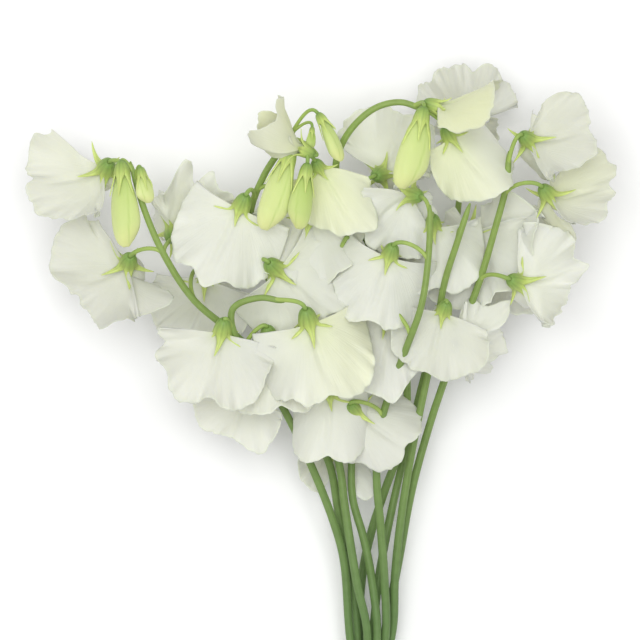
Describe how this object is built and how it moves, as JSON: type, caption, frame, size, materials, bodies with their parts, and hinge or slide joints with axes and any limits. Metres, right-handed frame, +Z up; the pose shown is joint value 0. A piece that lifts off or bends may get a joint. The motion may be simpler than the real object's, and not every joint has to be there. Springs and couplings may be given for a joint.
{
  "type": "bunch of cut sweet peas",
  "caption": "Loose bunch of cut white sweet peas with nodding blooms, buds and long green stems, held by a band and lying on a flat surface.",
  "frame": {"origin": "centre of the bounding box's base, on the surface that the bunch lies on", "axes": "+Y from the cut stem ends to the blooms, +Z up from the surface, +X to the right seen from above"},
  "size_m": [0.2886, 0.379, 0.1042],
  "materials": {
    "green": "fresh green stem and calyx, satin",
    "petal_white": "soft white petal, slightly see-through",
    "petal_cream": "cream to greenish-yellow petal",
    "bud": "yellow-green folded petals",
    "band": "plain natural rubber, matt"
  },
  "bodies": {
    "root": {"stem_a": "green", "stem_b": "green", "stem_c": "green", "stem_d": "green", "stem_e": "green", "stem_f": "green", "stem_g": "green", "stem_h": "green", "stem_i": "green", "bud_left_large": "bud", "bud_left_small": "bud", "bud_middle_pale": "bud", "bud_middle_green": "bud", "bud_top_small": "bud", "bud_top_end": "bud", "bud_arch": "bud", "bloom_01": "petal_white", "bloom_02": "petal_white", "bloom_04": "petal_white", "bloom_29": "petal_white", "bloom_06": "petal_white", "bloom_07": "petal_cream", "bloom_08": "petal_white", "bloom_27": "petal_white", "bloom_05": "petal_white", "bloom_14": "petal_white", "bloom_16": "petal_cream", "bloom_15": "petal_cream", "bloom_30": "petal_white", "bloom_23": "petal_white", "bloom_21": "petal_cream", "bloom_20": "petal_cream", "bloom_13": "petal_white", "bloom_17": "petal_white", "bloom_18": "petal_white", "bloom_11": "petal_white", "bloom_12": "petal_white", "bloom_19": "petal_white", "bloom_24": "petal_white", "bloom_25": "petal_cream", "bloom_26": "petal_white", "bloom_22": "petal_white", "bloom_31": "petal_white", "bloom_09": "petal_white", "bloom_10": "petal_white", "bloom_28": "petal_white", "bloom_32": "petal_white", "bloom_33": "petal_white", "band": "band"}
  },
  "joints": []
}
